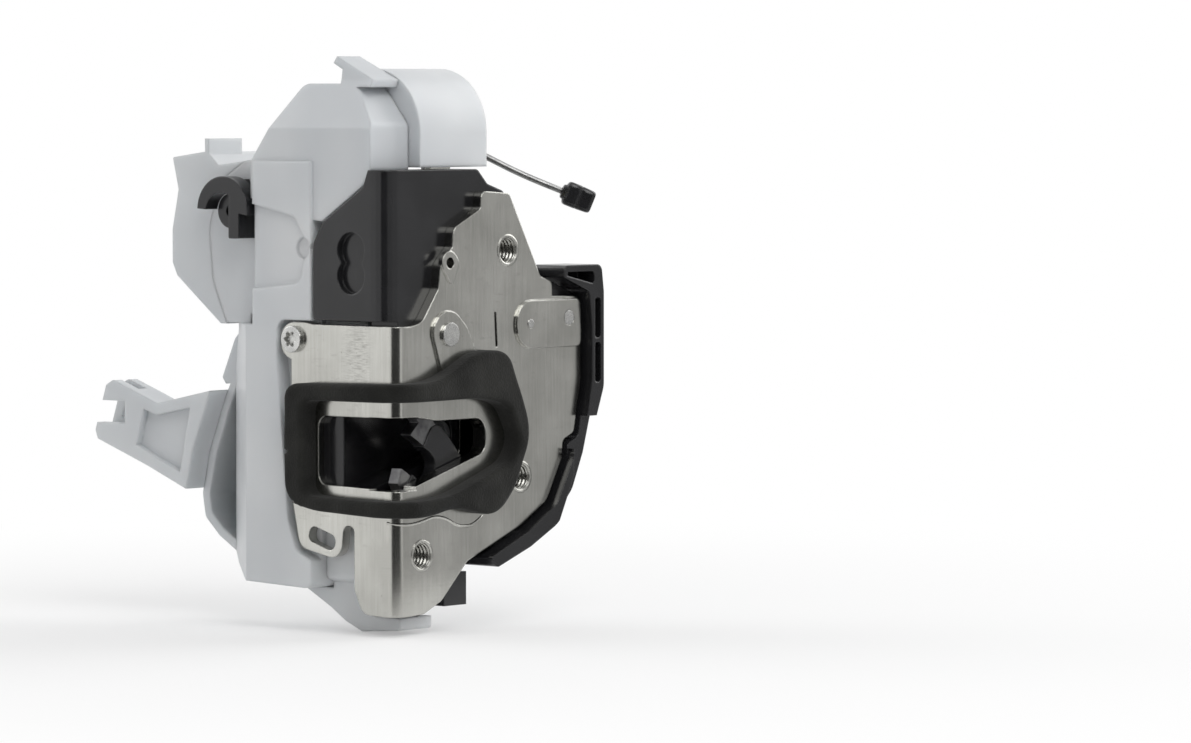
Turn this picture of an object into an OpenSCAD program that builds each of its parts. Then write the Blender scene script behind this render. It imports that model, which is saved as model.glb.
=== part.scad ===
/* [Face plate] */
// Thickness of the pressed steel face plate
plate_t = 3; // [2:0.5:4]
// Outer radius of the bend between the face and the side flange
bend_r = 4; // [3.5:0.5:6]
// Distance from the top fixing hole to the outside of the side flange
flange_x = 45; // [43:1:48]
// Depth of the side flange behind the face
flange_depth = 38; // [36:1:42]
// Radius of the threaded fixing holes, cut for M8 screws
fix_r = 3.4; // [2.5:0.1:3.8]
// Depth of the threaded collar, measured from the face
fix_depth = 7.5; // [6:0.5:9]
// Wall of the threaded collar
collar_w = 1.8; // [1.4:0.1:2.4]

/* [Striker mouth] */
// Height of the mouth at its closed end, a little over the striker wire
mouth_end_h = 9.6; // [9:0.2:11]
// Height of the mouth where the striker enters
mouth_in_h = 20; // [18:1:22]
// Height of the striker's path below the top fixing hole
striker_drop = 50; // [49:0.5:51]
// Distance of the mouth's closed end from the side flange
mouth_len = 36; // [34:1:37]
// Reach of the mouth window along the side flange
mouth_flange = 28; // [24:1:29]
// Depth of the rolled lip round the mouth
lip_depth = 1.6; // [1:0.2:1.6]
// Diameter of the striker wire that the fork bolt holds
striker_d = 8; // [7:0.5:8.5]

/* [Seal] */
// Height of the foam seal above the steel
seal_h = 6; // [4:0.5:8]

/* [Latch mechanism] */
// Depth of the back plate's front face
back_y = 12.5; // [12.5:0.5:14]
// Thickness of the back plate
back_t = 2; // [1.5:0.5:2.5]
// Turn of the fork bolt from open to latched
fork_turn = 66; // [60:1:68]
// Reach of the fork bolt's latching tooth from its pivot
tooth_r = 27; // [26.5:0.1:27.2]
// Depth of the step that the pawl drops behind
tooth_step = 2.5; // [2:0.1:2.6]
// Turn of the pawl from riding on the tooth to latched
pawl_drop = 6.5; // [6.2:0.1:7]
// Thickness of the fork bolt's and the pawl's steel
bolt_t = 3.5; // [3:0.1:3.6]
// Radius of the fork bolt's pivot
fork_pin_r = 4; // [3.5:0.1:4.2]
// Radius of the pawl's pivot
pawl_pin_r = 3.5; // [3:0.1:4]
// Radial running clearance of every pivot
run_gap = 0.05; // [0.02:0.01:0.1]

/* [Release lever] */
// Thickness of the lever's steel
lever_t = 2; // [1.5:0.5:2]
// Radius of the lever's pin
lever_pin_r = 2.5; // [2:0.1:3]
// Distance between the lever's two bearing plates
lever_gap = 9; // [8:0.5:9.5]
// Diameter of the release rod
rod_d = 1.8; // [1.4:0.1:2.2]

/* [Housings] */
// Wall of the plastic housings
wall = 2.5; // [2:0.25:3]
// Outer width of the actuator housing behind the latch
case_w = 32; // [30:1:33]
// Place of the joint line across the actuator housing, from its inboard side
case_split = 16; // [14:1:18]
// Radius of the key socket's bore
key_r = 7; // [6:0.25:7.5]

/* [Actuator] */
// Diameter of the motor
motor_d = 16; // [14:0.5:16.5]
// Length of the motor's can
motor_len = 28; // [24:1:30]
// Teeth on the worm wheel
wheel_teeth = 24; // [22:1:24]
// Axial pitch of the worm and arc pitch of its wheel
worm_pitch = 2.6; // [2.4:0.1:2.6]
// Teeth on the pinion beside the worm wheel
pinion_teeth = 8; // [8:1:9]
// Pitch radius of the pinion
pinion_r = 6; // [5.5:0.25:6]
// Teeth that the lock lever's sector would have over a full turn
sector_teeth = 28; // [28:1:30]

/* [Hidden] */

white = [0.93, 0.94, 0.95];
black = [0.07, 0.07, 0.08];
steel = [0.72, 0.72, 0.70];
dark_steel = [0.35, 0.35, 0.36];
foam = [0.13, 0.13, 0.14];
brass = [0.80, 0.62, 0.30];
yellow = [0.85, 0.80, 0.25];

$fn = 48;

// Places of the three fixing holes on the face
fix_holes = [[0, 0], [-34.7, -80.7], [5.2, -61.6]];
// Places of the pivots, seen from the front
fork_c = [-15, -65];
pawl_c = [-24.5, -22];
lever_c = [-4, -12.5];
// Angle from the fork bolt's pivot to the latched striker
seat = [-flange_x + mouth_len - striker_d / 2 - 0.3, -striker_drop];
slot_a = atan2(seat[1] - fork_c[1], seat[0] - fork_c[0]);
slot_r = norm(seat - fork_c);
slot_w = striker_d + 1.4;
// The pawl's catching face lies at this angle from the fork bolt's pivot
tooth_a = slot_a - 22;
land_r = tooth_r - tooth_step;
// The pawl's pin lies between the two pivots, twice as far from the pawl's
pin_ratio = 0.5;
pin_c = pawl_c + (lever_c - pawl_c) / (1 + pin_ratio);
pin_r = 1.5;
channel_d = 12;
// Levels from the face towards the back
floor_y = plate_t + 1.8;
bolt_y = floor_y + 0.6;
lever_y = back_y + back_t + 0.8;
lever_back_y = lever_y + lever_t + lever_gap;
// The actuator housing across the part
case_in = -flange_x - 1;
case_front = 30;
case_out = case_in + case_w;
split_x = case_in + case_split;
// Foot below the column
foot_x = -37;
foot_w = 12.2;
inner_in = case_in + wall;
inner_out = case_out - wall;
inner_mid = (inner_in + inner_out) / 2 + 3;
// The inboard face steps back behind here, and slopes further down
step_in = case_in + 6.5;
step_y = 51.5;
slope_y = 54;
slope_u = unit([15, 18]);
slope_n = [slope_u[1], -slope_u[0]];
// The wall between the upper and the lower shape of the inboard side
slope_z = -20;
// The lock lever's axle, the wheel and the worm, seen from the side
hook_c = [62, 10.5];
sector_r = pinion_r * sector_teeth / pinion_teeth;
// The wheel leans this far from straight below the lock lever's axle
wheel_lean = -34;
wheel_c = hook_c + (sector_r + pinion_r) * [sin(wheel_lean), -cos(wheel_lean)];
wheel_r = wheel_teeth * worm_pitch / (2 * PI);
worm_core = 3;
worm_e = 0.6;
mesh_gap = 0.5;
worm_turns = 5.5;
worm_c = wheel_c + [wheel_r + worm_core + mesh_gap, 0];
motor_top = worm_c[1] - 20;
// The key socket's centre, seen from the side
key_c = [22, 32];
key_cap_r = 17;
key_out = -3;

function unit(v) = v / norm(v);

// One rounded corner of an outline, given as x, y and radius
function corner(a, b, c, n) =
  let (
    p = [b[0], b[1]],
    u = unit([a[0], a[1]] - p),
    v = unit([c[0], c[1]] - p),
    ang = acos(max(-1, min(1, u * v))),
    r = b[2],
    turn = sign(u[1] * v[0] - u[0] * v[1]),
    centre = p + unit(u + v) * r / sin(ang / 2),
    start = p + u * r / tan(ang / 2) - centre,
    a0 = atan2(start[1], start[0])
  )
  r <= 0 || ang > 179 ? [p]
  : [for (i = [0:n]) centre + r * [cos(a0 + turn * i * (180 - ang) / n), sin(a0 + turn * i * (180 - ang) / n)]];

function rounded(pts, n = 5) =
  [for (i = [0:len(pts) - 1]) each corner(
    pts[(i + len(pts) - 1) % len(pts)], pts[i], pts[(i + 1) % len(pts)], n)];

function polar(c, r, a) = c + r * [cos(a), sin(a)];

// A flat piece seen from the front, from depth y0 and t thick
module front(y0, t) {
  translate([0, y0 + t, 0]) rotate([90, 0, 0]) linear_extrude(t) children();
}

// A flat piece seen from the side, from x0 and t wide
module side(x0, t) {
  translate([x0, 0, 0]) rotate([90, 0, 90]) linear_extrude(t) children();
}

// A round bar or bore along Y at a front view place
module bar_y(c, y0, y1, r) {
  translate([c[0], y1, c[1]]) rotate([90, 0, 0]) cylinder(r=r, h=y1 - y0);
}

// A round bar or bore along X at a side view place
module bar_x(c, x0, x1, r) {
  translate([x0, c[0], c[1]]) rotate([0, 90, 0]) cylinder(r=r, h=x1 - x0);
}

// A tube swept along a path, its rings set out square to the Y axis
module wire(path, r, sides = 8) {
  n = len(path);
  function tangent(i) = unit(path[min(i + 1, n - 1)] - path[max(i - 1, 0)]);
  function frame_u(i) = unit(cross(tangent(i), [0.02, 1, 0.03]));
  pts = [for (i = [0:n - 1]) let (u = frame_u(i), v = cross(tangent(i), u))
    for (k = [0:sides - 1]) path[i] + r * (cos(k * 360 / sides) * u + sin(k * 360 / sides) * v)];
  skin = [for (i = [0:n - 2]) for (k = [0:sides - 1]) let (j = (k + 1) % sides)
    [i * sides + k, (i + 1) * sides + k, (i + 1) * sides + j, i * sides + j]];
  polyhedron(
    points=pts,
    faces=concat(
      skin,
      [[for (k = [0:sides - 1]) k]],
      [[for (k = [0:sides - 1]) n * sides - 1 - k]]
    ),
    convexity=6
  );
}

// A torsion spring about Y with two straight legs
function torsion(c, y0, r, d, turns, a0, leg1, leg2, steps = 16) =
  let (
    n = round(turns * steps),
    coil = [for (i = [0:n]) [
      c[0] + r * cos(a0 + i * 360 / steps), y0 + d / 2 + i * (d + 0.1) / steps, c[1] + r * sin(a0 + i * 360 / steps)]],
    a1 = a0 + n * 360 / steps
  )
  concat(
    [coil[0] + leg1 * [sin(a0), 0, -cos(a0)]],
    coil,
    [coil[n] + leg2 * [-sin(a1), 0, cos(a1)]]
  );

// Outline of the face plate from the bend round to the lower bend end
face_outline = [
  [-flange_x + bend_r, -96.8, 0], [-34, -96.4, 3], [-27, -93.3, 3], [-16.5, -83.2, 4], [5.2, -74.7, 8],
  [16, -68.5, 8], [22.3, -57, 3], [22.6, -52.3, 2], [27.2, -50.4, 2], [30.1, -36, 10], [30.1, -22, 8],
  [29.1, -13.2, 1.5], [18.2, -12.8, 0], [18.2, -8.9, 2], [13.4, -7.4, 2], [0.6, 15.4, 1.5], [-10.8, 16.2, 2],
  [-11, 11.3, 1.5], [-22, 6.2, 3], [-22.4, 1.2, 1], [-27, -3, 4], [-28, -9.8, 3], [-34.5, -18.6, 5],
  [-39, -19.5, 0], [-flange_x + bend_r, -19.5, 0],
];

// The mouth on the face, its lower edge slanting up to the closed end
mouth_top = -striker_drop + mouth_end_h / 2 + 0.3;
mouth_low = mouth_top - mouth_end_h;
mouth_outline = [
  [-flange_x - 5, mouth_top + 1.2, 0], [-flange_x + 8, mouth_top + 1.2, 6],
  [-flange_x + 16, mouth_top, 6], [-flange_x + mouth_len, mouth_top, 4.2],
  [-flange_x + mouth_len, mouth_low + 0.4, 4], [-flange_x + 4, mouth_top - mouth_in_h + 1.6, 3],
  [-flange_x - 5, mouth_top - mouth_in_h + 1.6, 0],
];

module mouth_shape() {
  polygon(rounded(mouth_outline));
}

// The raised boss round the pawl's pivot
module boss_shape() {
  polygon(rounded([
    [-31.5, -20, 5], [-24.5, -13.5, 6], [-17.5, -20, 5], [-12, -30, 3], [-14, -36, 2], [-26, -36, 2],
  ]));
}

// The mouth as it runs through the face, the bend and the flange
module mouth_cut(y1) {
  front(-1, y1 + 1) mouth_shape();
}

module flange_window(x0, t) {
  side(x0, t) polygon(rounded([
    [-8, mouth_top + 1.2, 0], [-8, mouth_top - mouth_in_h + 1.6, 0],
    [mouth_flange, mouth_top - mouth_in_h + 2.6, 3], [mouth_flange, mouth_top + 1, 3],
  ]));
}

module fix_bores(y0, y1, r) {
  for (h = fix_holes) bar_y(h, y0, y1, r);
}

module face_plate() color(steel) difference() {
  union() {
    front(0, plate_t) polygon(rounded(face_outline));
    // The bend
    intersection() {
      translate([-flange_x + bend_r, bend_r, -96.8]) difference() {
        cylinder(r=bend_r, h=77.3);
        translate([0, 0, -1]) cylinder(r=bend_r - plate_t, h=80);
      }
      translate([-flange_x, 0, -100]) cube([bend_r, bend_r, 100]);
    }
    // The side flange, deep above the seal and shallow below it
    side(-flange_x, plate_t) polygon(rounded([
      [bend_r, -19.5, 0], [bend_r, -96.8, 0], [12, -96.4, 4], [15, -90, 3], [15, -73, 1.8], [19, -73, 1.8],
      [20, -82.5, 4], [flange_depth - 3, -79.5, 4], [flange_depth - 1, -70, 3], [flange_depth, -66, 3], [flange_depth, -34, 1], [flange_depth, -29, 0],
      [flange_depth + 4, -28, 5], [flange_depth + 4, -19, 5], [flange_depth - 5, -19, 4], [flange_depth - 8, -19.5, 0],
    ]));
    // The threaded collars behind the holes
    fix_bores(plate_t - 1, fix_depth, fix_r + collar_w);
    // The raised tab at the upper right and the boss round the pawl's pivot
    front(-0.8, 1.8) polygon(rounded([[3, -13.8, 6], [29.3, -13.8, 2], [29.6, -26.8, 2], [3, -26.8, 6]]));
    front(-0.8, 1.8) boss_shape();
    front(-0.5, 1.5) polygon(rounded([[-27.8, -2.5, 3], [-23.8, 1.6, 3], [-19.8, -2.5, 3], [-23, -9.5, 1]]));
    // The rolled lip round the mouth
    front(plate_t - 0.5, lip_depth + 0.5) polygon(rounded([
      [-flange_x + bend_r, mouth_top + 2.7, 0], [-flange_x + 17, mouth_top + 1.5, 6],
      [-flange_x + mouth_len + 1.5, mouth_top + 1.5, 5.5], [-flange_x + mouth_len + 1.5, mouth_low - 0.8, 5],
      [-flange_x + 4.5, mouth_top - mouth_in_h - 0.2, 3], [-flange_x + bend_r, mouth_top - mouth_in_h - 0.2, 0],
    ]));
  }
  mouth_cut(plate_t + lip_depth + 5);
  flange_window(-flange_x - 1, plate_t + 6);
  fix_bores(-2, fix_depth + 1, fix_r);
  bar_y([-23.8, -2.9], -1, plate_t + 1, 1.5);
  bar_y(pawl_c, -2, plate_t + 1, 2.5);
  bar_y(fork_c, -2, plate_t + 1, 2.5);
  bar_y([8.5, -20.1], -2, plate_t + 1, 1.2);
  bar_y([24.5, -18.9], -2, plate_t + 1, 2);
  // Slit beside the raised boss
  front(-2, plate_t + 3) polygon(rounded([[-5.6, -16.5, 0.3], [-4.8, -16.5, 0.3], [-4.2, -26, 0.3], [-5, -26, 0.3]]));
  // Slot in the flange's lower tab
  translate([0, flange_depth - 11.2, -76.8]) rotate([17, 0, 0]) side(-flange_x - 1, plate_t + 2)
    polygon(rounded([[-5, -2.2, 2], [5, -2.2, 2], [5, 2.2, 2], [-5, 2.2, 2]]));
  // Screw hole in the flange's ear
  bar_x([flange_depth - 1, -23.6], -flange_x - 1, -flange_x + plate_t + 1, 2.2);
}

module seal_band() {
  translate([0, 0, -75]) linear_extrude(50) polygon(rounded([
      [-flange_x - seal_h, -seal_h, bend_r + seal_h - 2], [24, -seal_h, 0], [24, 0, 0],
      [-flange_x, 0, bend_r - 0.3], [-flange_x, 40, 0], [-flange_x - seal_h, 40, 0],
    ], 8));
}

module mouth_seal() color(foam) difference() {
  intersection() {
    seal_band();
    union() {
      front(-seal_h - 1, seal_h + 2) polygon(rounded([
        [-60, -34.6, 0], [-29, -33.8, 3], [-20, -31.2, 4], [-13.5, -27, 5], [-3, -27.6, 6], [0.5, -33, 6],
        [6.3, -48.5, 7], [-0.5, -66.5, 8], [-9, -72, 5], [-25, -69.4, 6], [-38, -72, 3], [-60, -72, 0],
      ]));
      side(-60, 60 - flange_x + 1) polygon(rounded([
        [-8, -34.6, 0], [-8, -72, 0], [30, -69.5, 4], [36, -67, 6], [36, -35.5, 5],
      ]));
    }
  }
  front(-seal_h - 2, seal_h + 3) polygon(rounded([
    [-60, -39.4, 0], [-flange_x + 33, -39.9, 4], [-3.5, -44, 4], [-1, -51, 4], [-6, -57, 4], [-29, -65.6, 3],
    [-60, -66.6, 0],
  ]));
  side(-60, 60 - flange_x + 1) polygon(rounded([
    [-20, -39.4, 0], [-20, -66.6, 0], [29, -64.4, 3], [29, -41, 3],
  ]));
  // Clear of the raised boss and of the pivot's head
  front(-0.9, 1.8) boss_shape();
  bar_y(fork_c, -1.8, 1, 3.8);
}

module face_rivets() color(steel) {
  bar_y([8.5, -20.1], -1, plate_t, 1.2);
  bar_y([24.5, -18.9], -0.8, plate_t, 2);
}

housing_outline = [
  [-flange_x + bend_r + 0.1, -96.5, 2], [-33, -97.3, 3], [-26.6, -94.4, 3], [-16.2, -84.2, 4], [5.6, -75.7, 8],
  [16.8, -69.2, 8], [23.3, -57.2, 3], [23.6, -53, 2], [28, -51.2, 2], [31.1, -36, 10], [31.1, -22, 8],
  [30, -12.2, 1.5], [19.2, -8.2, 2], [14, -6.4, 2], [1.4, 16, 2], [-5, 18, 2], [-9, 22, 2],
  [-38, 22, 0], [-38, -18.2, 0], [-flange_x + bend_r + 0.1, -18.2, 0],
];

// Where the fork bolt and the pawl move, seen from the front
module works_shape(gap) {
  intersection() {
    translate(fork_c) circle(r=tooth_r + gap);
    polygon([
      polar(fork_c, 13, slot_a - 95), polar(fork_c, 19, slot_a - 62), polar(fork_c, 60, slot_a - 50),
      polar(fork_c, 60, slot_a), polar(fork_c, 60, slot_a + 40), polar(fork_c, 60, slot_a + 80),
      polar(fork_c, 60, slot_a + fork_turn + 62), polar(fork_c, 20, slot_a + fork_turn + 72),
      polar(fork_c, 13, slot_a + fork_turn + 100),
    ]);
    translate([-flange_x + plate_t + 1.2, -100]) square([80, 100]);
  }
  translate(fork_c) circle(r=9 + gap);
  polygon(rounded([
    [-34.5, -12, 4], [-34.5, -30, 4], [-25, -44, 2], [9, -44, 2], [9, -33, 4], [-1, -21, 4], [-4.5, -8.5, 3],
    [-22, -11.5, 3],
  ]));
}

module latch_housing() color(black) difference() {
  union() {
    front(plate_t, back_y - plate_t) polygon(rounded(housing_outline));
    // The thick box at the top, rounded like the bend down its front corner
    intersection() {
      side(-flange_x - 1, 15) polygon(rounded([
        [plate_t, -18.2, 0], [29, -18.2, 1], [29, 2, 4], [25.5, 8, 3], [10.7, 17.5, 3], [9, 22, 0], [plate_t, 22, 0],
      ]));
      translate([0, 0, -20]) linear_extrude(50) polygon(rounded([
        [-flange_x - 1, plate_t, bend_r + 1], [-20, plate_t, 0], [-20, 35, 0], [-flange_x - 1, 35, 0],
      ]));
    }
  }
  front(floor_y, back_y - floor_y) works_shape(1.2);
  front(plate_t - 1, back_y) mouth_shape();
  fix_bores(plate_t - 1, back_y + 1, fix_r + collar_w + 0.3);
  // Room for the lip that is rolled in round the mouth
  front(plate_t - 1, lip_depth + 1.3) polygon(rounded([
    [-flange_x - 5, mouth_top + 4, 0], [-flange_x + 17, mouth_top + 1.8, 6],
    [-flange_x + mouth_len + 1.8, mouth_top + 1.8, 5.5], [-flange_x + mouth_len + 1.8, mouth_low - 1.1, 5],
    [-flange_x + 4.5, mouth_top - mouth_in_h - 0.5, 3], [-flange_x - 5, mouth_top - mouth_in_h - 0.5, 0],
  ]));
  bar_y(pawl_c, 0, back_y, pawl_pin_r);
  bar_y(fork_c, 0, back_y, fork_pin_r);
  // The top corner follows the side panel's curve
  side(-50, 20) polygon([[8.7, 23], [10.9, 17.8], [14, 15.9], [14, 23]]);
  // The waisted recess in the side panel
  side(-flange_x - 2, 3) for (k = [-1, 1]) translate([15.2, -2.8 + k * 3.4]) circle(r=4.9);
}

// Outline of the deep channel behind the mouth
channel_outline = [
  [-flange_x + plate_t + 0.4, mouth_top + 4.2, 0], [-flange_x + mouth_len + 3, mouth_top + 3, 5],
  [-flange_x + mouth_len + 3, mouth_low - 2, 5], [-flange_x + plate_t + 0.4, mouth_top - mouth_in_h - 1, 0],
];

module mouth_channel() color(black) difference() {
  front(back_y, channel_d) polygon(rounded(channel_outline));
  front(back_y - 1, channel_d + 1 - wall) mouth_shape();
}

module back_plate() color(steel) difference() {
  front(back_y, back_t) polygon(rounded([
    [-38, -32, 4], [-38, -74, 3], [-26, -78, 3], [-6, -76, 5], [12, -70, 6], [19, -52, 6], [29, -44, 2], [29.5, -30, 8],
    [28, -16, 3], [18, -10, 3], [12, -5, 3], [1.5, 14, 3], [-6, 17, 3], [-9, 20.5, 2], [-29.6, 20.5, 2],
    [-29.6, -21, 3],
  ]));
  front(back_y - 1, back_t + 2) polygon(rounded([
    [-50, mouth_top + 4.6, 0], [-flange_x + mouth_len + 3.4, mouth_top + 3.4, 5.4],
    [-flange_x + mouth_len + 3.4, mouth_low - 2.4, 5.4], [-50, mouth_top - mouth_in_h - 4, 0],
  ]));
  bar_y(fork_c, back_y - 1, back_y + back_t + 1, 2.5);
  bar_y(pawl_c, back_y - 1, back_y + back_t + 1, 2.5);
  bar_y(lever_c, back_y - 1, back_y + back_t + 1, 2);
  bar_y(pin_c, back_y - 1, back_y + back_t + 1, 4.2);
  fix_bores(back_y - 1, back_y + back_t + 1, fix_r + 1.2);
}

// A shouldered pivot with a head on the face and one behind
module pivot(c, r, head_r, y1) {
  bar_y(c, plate_t, y1, r);
  bar_y(c, -1.6, plate_t, 2.5);
  bar_y(c, -1.6, -0.8, head_r);
}

module fork_pivot() color(steel) {
  pivot(fork_c, fork_pin_r, 3.5, back_y);
  bar_y(fork_c, back_y - 1, back_y + back_t, 2.5);
}

module pawl_pivot() color(steel) {
  pivot(pawl_c, pawl_pin_r, 3.2, back_y);
  bar_y(pawl_c, back_y - 1, back_y + back_t, 2.5);
  bar_y(pawl_c, back_y + back_t, back_y + back_t + 0.6, 3.5);
}

// Turned back from its latched place to the open one
module opened() {
  translate([fork_c[0], 0, fork_c[1]]) rotate([0, -fork_turn, 0]) translate([-fork_c[0], 0, -fork_c[1]]) children();
}

module fork_slot(w) {
  translate(polar(fork_c, slot_r, slot_a)) circle(r=w / 2);
  translate(fork_c) rotate(slot_a) translate([slot_r, -w / 2]) square([40, w]);
}

// Steel of the fork bolt in its latched place
module fork_core_shape() {
  difference() {
    union() {
      translate(fork_c) circle(r=7.5);
      polygon([
        polar(fork_c, 6, slot_a - 90), polar(fork_c, 15, slot_a - 42), polar(fork_c, tooth_r, tooth_a - 9),
        polar(fork_c, tooth_r, tooth_a), polar(fork_c, land_r, tooth_a), polar(fork_c, land_r, tooth_a + 12),
        polar(fork_c, land_r - 1, slot_a), polar(fork_c, land_r - 1, slot_a + 22), polar(fork_c, 21, slot_a + 32),
        polar(fork_c, 13, slot_a + 55), polar(fork_c, 7, slot_a + 90),
      ]);
    }
    fork_slot(slot_w);
    translate(fork_c) circle(r=fork_pin_r + run_gap);
  }
}

// Plastic moulded over the legs of the fork bolt
module fork_cover_shape() {
  difference() {
    polygon(rounded([
      [polar(fork_c, 8.6, slot_a - 80)[0], polar(fork_c, 8.6, slot_a - 80)[1], 2],
      [polar(fork_c, 15, slot_a - 48)[0], polar(fork_c, 15, slot_a - 48)[1], 3],
      [polar(fork_c, 22, slot_a - 36)[0], polar(fork_c, 22, slot_a - 36)[1], 3],
      [polar(fork_c, 22, slot_a + 32)[0], polar(fork_c, 22, slot_a + 32)[1], 4],
      [polar(fork_c, 14, slot_a + 60)[0], polar(fork_c, 14, slot_a + 60)[1], 3],
      [polar(fork_c, 8.6, slot_a + 90)[0], polar(fork_c, 8.6, slot_a + 90)[1], 2],
    ]));
    fork_slot(slot_w - 0.9);
    translate(fork_c) circle(r=8.3);
  }
}

module fork_bolt() color(dark_steel) opened() {
  front(bolt_y, bolt_t) fork_core_shape();
}

module fork_cover() color(black) opened() difference() {
  front(bolt_y - 0.3, bolt_t + 0.6) fork_cover_shape();
  front(bolt_y, bolt_t) fork_core_shape();
}

module fork_spring() color(dark_steel) {
  wire(torsion(fork_c, bolt_y + bolt_t + 0.35, fork_pin_r + 1, 1, 2, 150, 9, 8), 0.5);
}

module pawl_at_rest() {
  translate([pawl_c[0], 0, pawl_c[1]]) rotate([0, -pawl_drop, 0]) translate([-pawl_c[0], 0, -pawl_c[1]]) children();
}

// The pawl's tail turns with it, so it is set out in the latched place
pin_latched = pawl_c + norm(pin_c - pawl_c) * [
  cos(atan2(pin_c[1] - pawl_c[1], pin_c[0] - pawl_c[0]) - pawl_drop),
  sin(atan2(pin_c[1] - pawl_c[1], pin_c[0] - pawl_c[0]) - pawl_drop)];

function with_r(p, r) = [p[0], p[1], r];

module pawl_shape() {
  difference() {
    polygon(rounded([
      with_r(pawl_c + [-7, -4.5], 5), with_r(polar(fork_c, land_r + 0.3, tooth_a + 9), 0.4),
      with_r(polar(fork_c, land_r + 0.3, tooth_a + 0.7), 0.3), with_r(polar(fork_c, tooth_r + 4.2, tooth_a + 0.9), 1),
      with_r(pawl_c + [9, -2], 2), with_r(pin_latched + [3.5, -3.2], 3), with_r(pin_latched + [1.5, 4.2], 3),
      with_r(pawl_c + [-3, 7.5], 5), with_r(pawl_c + [-7.5, 3], 4),
    ]));
    translate(pawl_c) circle(r=pawl_pin_r + run_gap);
    translate(pin_latched) circle(r=pin_r);
  }
}

module pawl() color(dark_steel) pawl_at_rest() {
  front(bolt_y, bolt_t) pawl_shape();
}

module pawl_pin() color(steel) {
  bar_y(pin_c, bolt_y, lever_y + lever_t + 0.4, pin_r);
}

module pawl_spring() color(dark_steel) {
  wire(torsion(pawl_c, bolt_y + bolt_t + 0.35, pawl_pin_r + 1, 1, 2, 60, 7, 8), 0.5);
}

module bump_stop() color(black) {
  front(back_y + 0.3, channel_d - wall - 0.3) difference() {
    translate([-flange_x + mouth_len - 4.2, -striker_drop]) circle(r=4);
    translate([-flange_x + mouth_len - 6.4, -striker_drop]) circle(r=4.4);
  }
}

module outboard_cover() color(black) difference() {
  front(-3, 11.5) polygon(rounded([
    [19.8, -4.5, 2], [35.5, -4.5, 2], [36.5, -12, 3], [36.5, -38, 6], [33.5, -46, 4], [30.5, -56, 4], [26, -66, 8],
    [17, -75, 10], [6, -80.5, 8], [-8, -85.5, 1.5], [-10, -82.6, 0.5], [5.9, -76.2, 8], [17, -69.6, 8],
    [23.8, -57.3, 3], [24.1, -53.5, 2], [28.5, -51.6, 2], [31.6, -36, 10], [31.6, -22, 8], [30.5, -11.8, 1.5],
    [19.8, -7.7, 1],
  ]));
  // Pockets in the front edge, a rib between them
  for (z = [-24.6, -36.8]) front(-4, 7) polygon(rounded([
    [32.8, z, 0.8], [35.2, z, 0.8], [35.2, z + 11, 0.8], [32.8, z + 11, 0.8]]));
  front(-4, 7) polygon(rounded([[21.2, -6.3, 0.3], [32.5, -6.3, 1], [32.5, -9.8, 0.8], [21.2, -7.4, 0.3]]));
  // It steps back below the side edge
  front(-4, 3.5) polygon([[10, -90], [60, -90], [60, -46], [24, -46], [24, -62]]);
}

module bottom_plug() color(black) {
  translate([-16, 9, -96]) cube([9, 5.7, 9]);
}

module lever_pivot() color(steel) {
  bar_y(lever_c, back_y, back_y + back_t, 2);
  bar_y(lever_c, back_y + back_t, lever_back_y + lever_t + 6.5, lever_pin_r);
  bar_y(lever_c, lever_back_y + lever_t + 6.5, lever_back_y + lever_t + 7.5, lever_pin_r + 1.5);
}

lever_foot_a = atan2(pin_c[1] - lever_c[1], pin_c[0] - lever_c[0]);
clip_c = [4, 31];

module release_lever() color(steel) difference() {
  union() {
    // Front plate with its forked foot
    front(lever_y, lever_t) {
      translate(lever_c) circle(r=5.5);
      translate(lever_c) rotate(lever_foot_a) translate([0, -4]) square([10.5, 8]);
      polygon(rounded([[-9, -14, 1], [1, -14, 1], [2, 3, 2], [2, 18, 2], [-4, 20, 2], [-10, 6, 3]]));
    }
    // The bent tab that joins the two plates
    translate([0, lever_y, 3.5]) cube([lever_t, lever_back_y + lever_t - lever_y, 13]);
    // Rear plate up to the rod
    front(lever_back_y, lever_t) {
      translate(lever_c) circle(r=5.5);
      polygon(rounded([
        [-9, -12, 1], [1, -12, 1], [2, 3, 1], [2, 15, 2], [6, 22, 2], [8, 31, 2], [0, 31, 2], [-2, 22, 3],
        [-8, 5, 3],
      ]));
      translate(clip_c) circle(r=4);
    }
  }
  bar_y(lever_c, 0, 60, lever_pin_r + run_gap);
  bar_y(clip_c, 0, 60, 2);
  front(lever_y - 1, lever_t + 2) translate(lever_c) rotate(lever_foot_a) translate([5, -pin_r - 0.4])
    square([8, 2 * pin_r + 0.8]);
}

module lever_spring() color(dark_steel) {
  wire(torsion(lever_c, lever_back_y + lever_t + 0.4, lever_pin_r + 1.2, 1.3, 3, 30, 9, 9), 0.65);
}

module rod_holder() color(black) difference() {
  union() {
    translate([clip_c[0] - 4, lever_back_y + lever_t, clip_c[1] - 10]) cube([8, 5.5, 18]);
    bar_y(clip_c, lever_back_y - 1.5, lever_back_y + lever_t + 1, 1.9);
    bar_y(clip_c, lever_back_y - 2, lever_back_y - 0.1, 3);
  }
  bar_y(clip_c + [0, 3], lever_back_y, lever_back_y + 12, rod_d / 2 + run_gap);
}

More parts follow.
